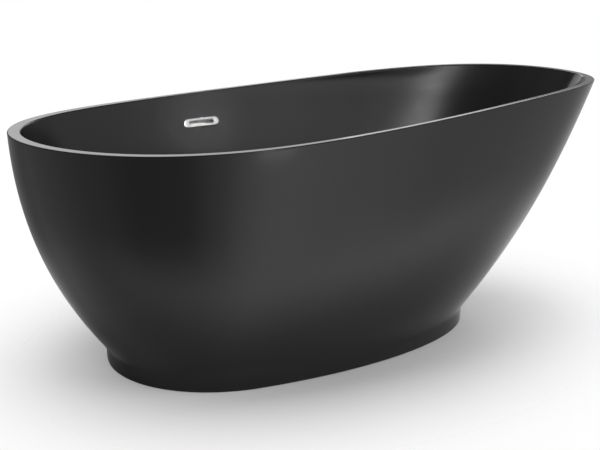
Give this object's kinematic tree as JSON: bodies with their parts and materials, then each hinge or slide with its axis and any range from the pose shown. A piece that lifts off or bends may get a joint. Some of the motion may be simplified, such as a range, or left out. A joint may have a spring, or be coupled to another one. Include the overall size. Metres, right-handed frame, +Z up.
{
  "type": "freestanding bathtub",
  "caption": "Black freestanding slipper bath: egg-shaped double-skin body on an oval plinth, flat rim rising to a sloped backrest end, slot overflow, pop-up waste and screw feet.",
  "frame": {"origin": "on the floor, under the middle of the bath's length and width", "axes": "+X along the bath to the high backrest end, +Y to the overflow side, +Z up"},
  "size_m": [1.7, 0.77, 0.7487],
  "materials": {
    "black_acrylic": "satin matt black",
    "birch_board": "resin-sealed ply",
    "frame_coat": "grey powder coat",
    "plug_plastic": "moulded",
    "zinc_steel": "zinc plated",
    "foot_rubber": "moulded",
    "seal_rubber": "moulded",
    "chrome": "polished",
    "brass": "turned",
    "pipe_plastic": "moulded white"
  },
  "bodies": {
    "bath": {"outer_shell": "black_acrylic", "inner_basin": "black_acrylic", "base_board": "birch_board", "frame_rail_near": "frame_coat", "frame_rail_far": "frame_coat", "frame_crossbar_low_end": "frame_coat", "frame_crossbar_middle": "frame_coat", "frame_crossbar_high_end": "frame_coat", "rail_plug_1": "plug_plastic", "rail_plug_2": "plug_plastic", "rail_plug_3": "plug_plastic", "rail_plug_4": "plug_plastic", "frame_screw_1": "zinc_steel", "frame_screw_2": "zinc_steel", "frame_screw_3": "zinc_steel", "frame_screw_4": "zinc_steel", "frame_screw_5": "zinc_steel", "frame_screw_6": "zinc_steel", "foot_weld_nut_1": "zinc_steel", "foot_weld_nut_2": "zinc_steel", "foot_weld_nut_3": "zinc_steel", "foot_weld_nut_4": "zinc_steel", "foot_lock_nut_1": "zinc_steel", "foot_lock_nut_2": "zinc_steel", "foot_lock_nut_3": "zinc_steel", "foot_lock_nut_4": "zinc_steel", "overflow_screw_1": "zinc_steel", "overflow_screw_2": "zinc_steel", "plug_spring": "zinc_steel", "waste_top_seal": "seal_rubber", "waste_bottom_seal": "seal_rubber", "overflow_gasket": "seal_rubber", "waste_flange": "chrome", "overflow_trim": "chrome", "plug_cartridge": "brass", "waste_tee": "pipe_plastic", "overflow_housing": "pipe_plastic", "overflow_pipe": "pipe_plastic", "pipe_nut_upper": "pipe_plastic", "pipe_nut_lower": "pipe_plastic"},
    "plug": {"plug_cap": "chrome", "plug_seal": "seal_rubber", "plug_stem": "brass"},
    "foot_1_pad": {"foot_pad_1": "foot_rubber"},
    "foot_1_stud": {"foot_stud_1": "zinc_steel"},
    "foot_2_pad": {"foot_pad_2": "foot_rubber"},
    "foot_2_stud": {"foot_stud_2": "zinc_steel"},
    "foot_3_pad": {"foot_pad_3": "foot_rubber"},
    "foot_3_stud": {"foot_stud_3": "zinc_steel"},
    "foot_4_pad": {"foot_pad_4": "foot_rubber"},
    "foot_4_stud": {"foot_stud_4": "zinc_steel"}
  },
  "joints": [
    {"name": "plug_press", "type": "slide", "parent": "bath", "child": "plug", "axis": [0, 0, 1], "range_m": [-0.009, 0], "stiffness_N_per_m": 500, "springref_m": 0.01, "deforming": ["plug_spring"]},
    {"name": "foot_1_height", "type": "slide", "parent": "bath", "child": "foot_1_pad", "axis": [0, 0, 1], "range_m": [-0.015, 0.01]},
    {"name": "foot_1_turn", "type": "hinge", "parent": "foot_1_pad", "child": "foot_1_stud", "pos_m": [-0.47, -0.14, 0.05], "axis": [0, 0, 1], "range_deg": [-3086, 2058]},
    {"name": "foot_2_height", "type": "slide", "parent": "bath", "child": "foot_2_pad", "axis": [0, 0, 1], "range_m": [-0.015, 0.01]},
    {"name": "foot_2_turn", "type": "hinge", "parent": "foot_2_pad", "child": "foot_2_stud", "pos_m": [0.23, -0.14, 0.05], "axis": [0, 0, 1], "range_deg": [-3086, 2058]},
    {"name": "foot_3_height", "type": "slide", "parent": "bath", "child": "foot_3_pad", "axis": [0, 0, 1], "range_m": [-0.015, 0.01]},
    {"name": "foot_3_turn", "type": "hinge", "parent": "foot_3_pad", "child": "foot_3_stud", "pos_m": [-0.47, 0.14, 0.05], "axis": [0, 0, 1], "range_deg": [-3086, 2058]},
    {"name": "foot_4_height", "type": "slide", "parent": "bath", "child": "foot_4_pad", "axis": [0, 0, 1], "range_m": [-0.015, 0.01]},
    {"name": "foot_4_turn", "type": "hinge", "parent": "foot_4_pad", "child": "foot_4_stud", "pos_m": [0.23, 0.14, 0.05], "axis": [0, 0, 1], "range_deg": [-3086, 2058]}
  ],
  "couplings": [
    {"joint": "foot_1_turn", "follows": "foot_1_height", "rad_per_m": 3590.4},
    {"joint": "foot_2_turn", "follows": "foot_2_height", "rad_per_m": 3590.4},
    {"joint": "foot_3_turn", "follows": "foot_3_height", "rad_per_m": 3590.4},
    {"joint": "foot_4_turn", "follows": "foot_4_height", "rad_per_m": 3590.4}
  ]
}
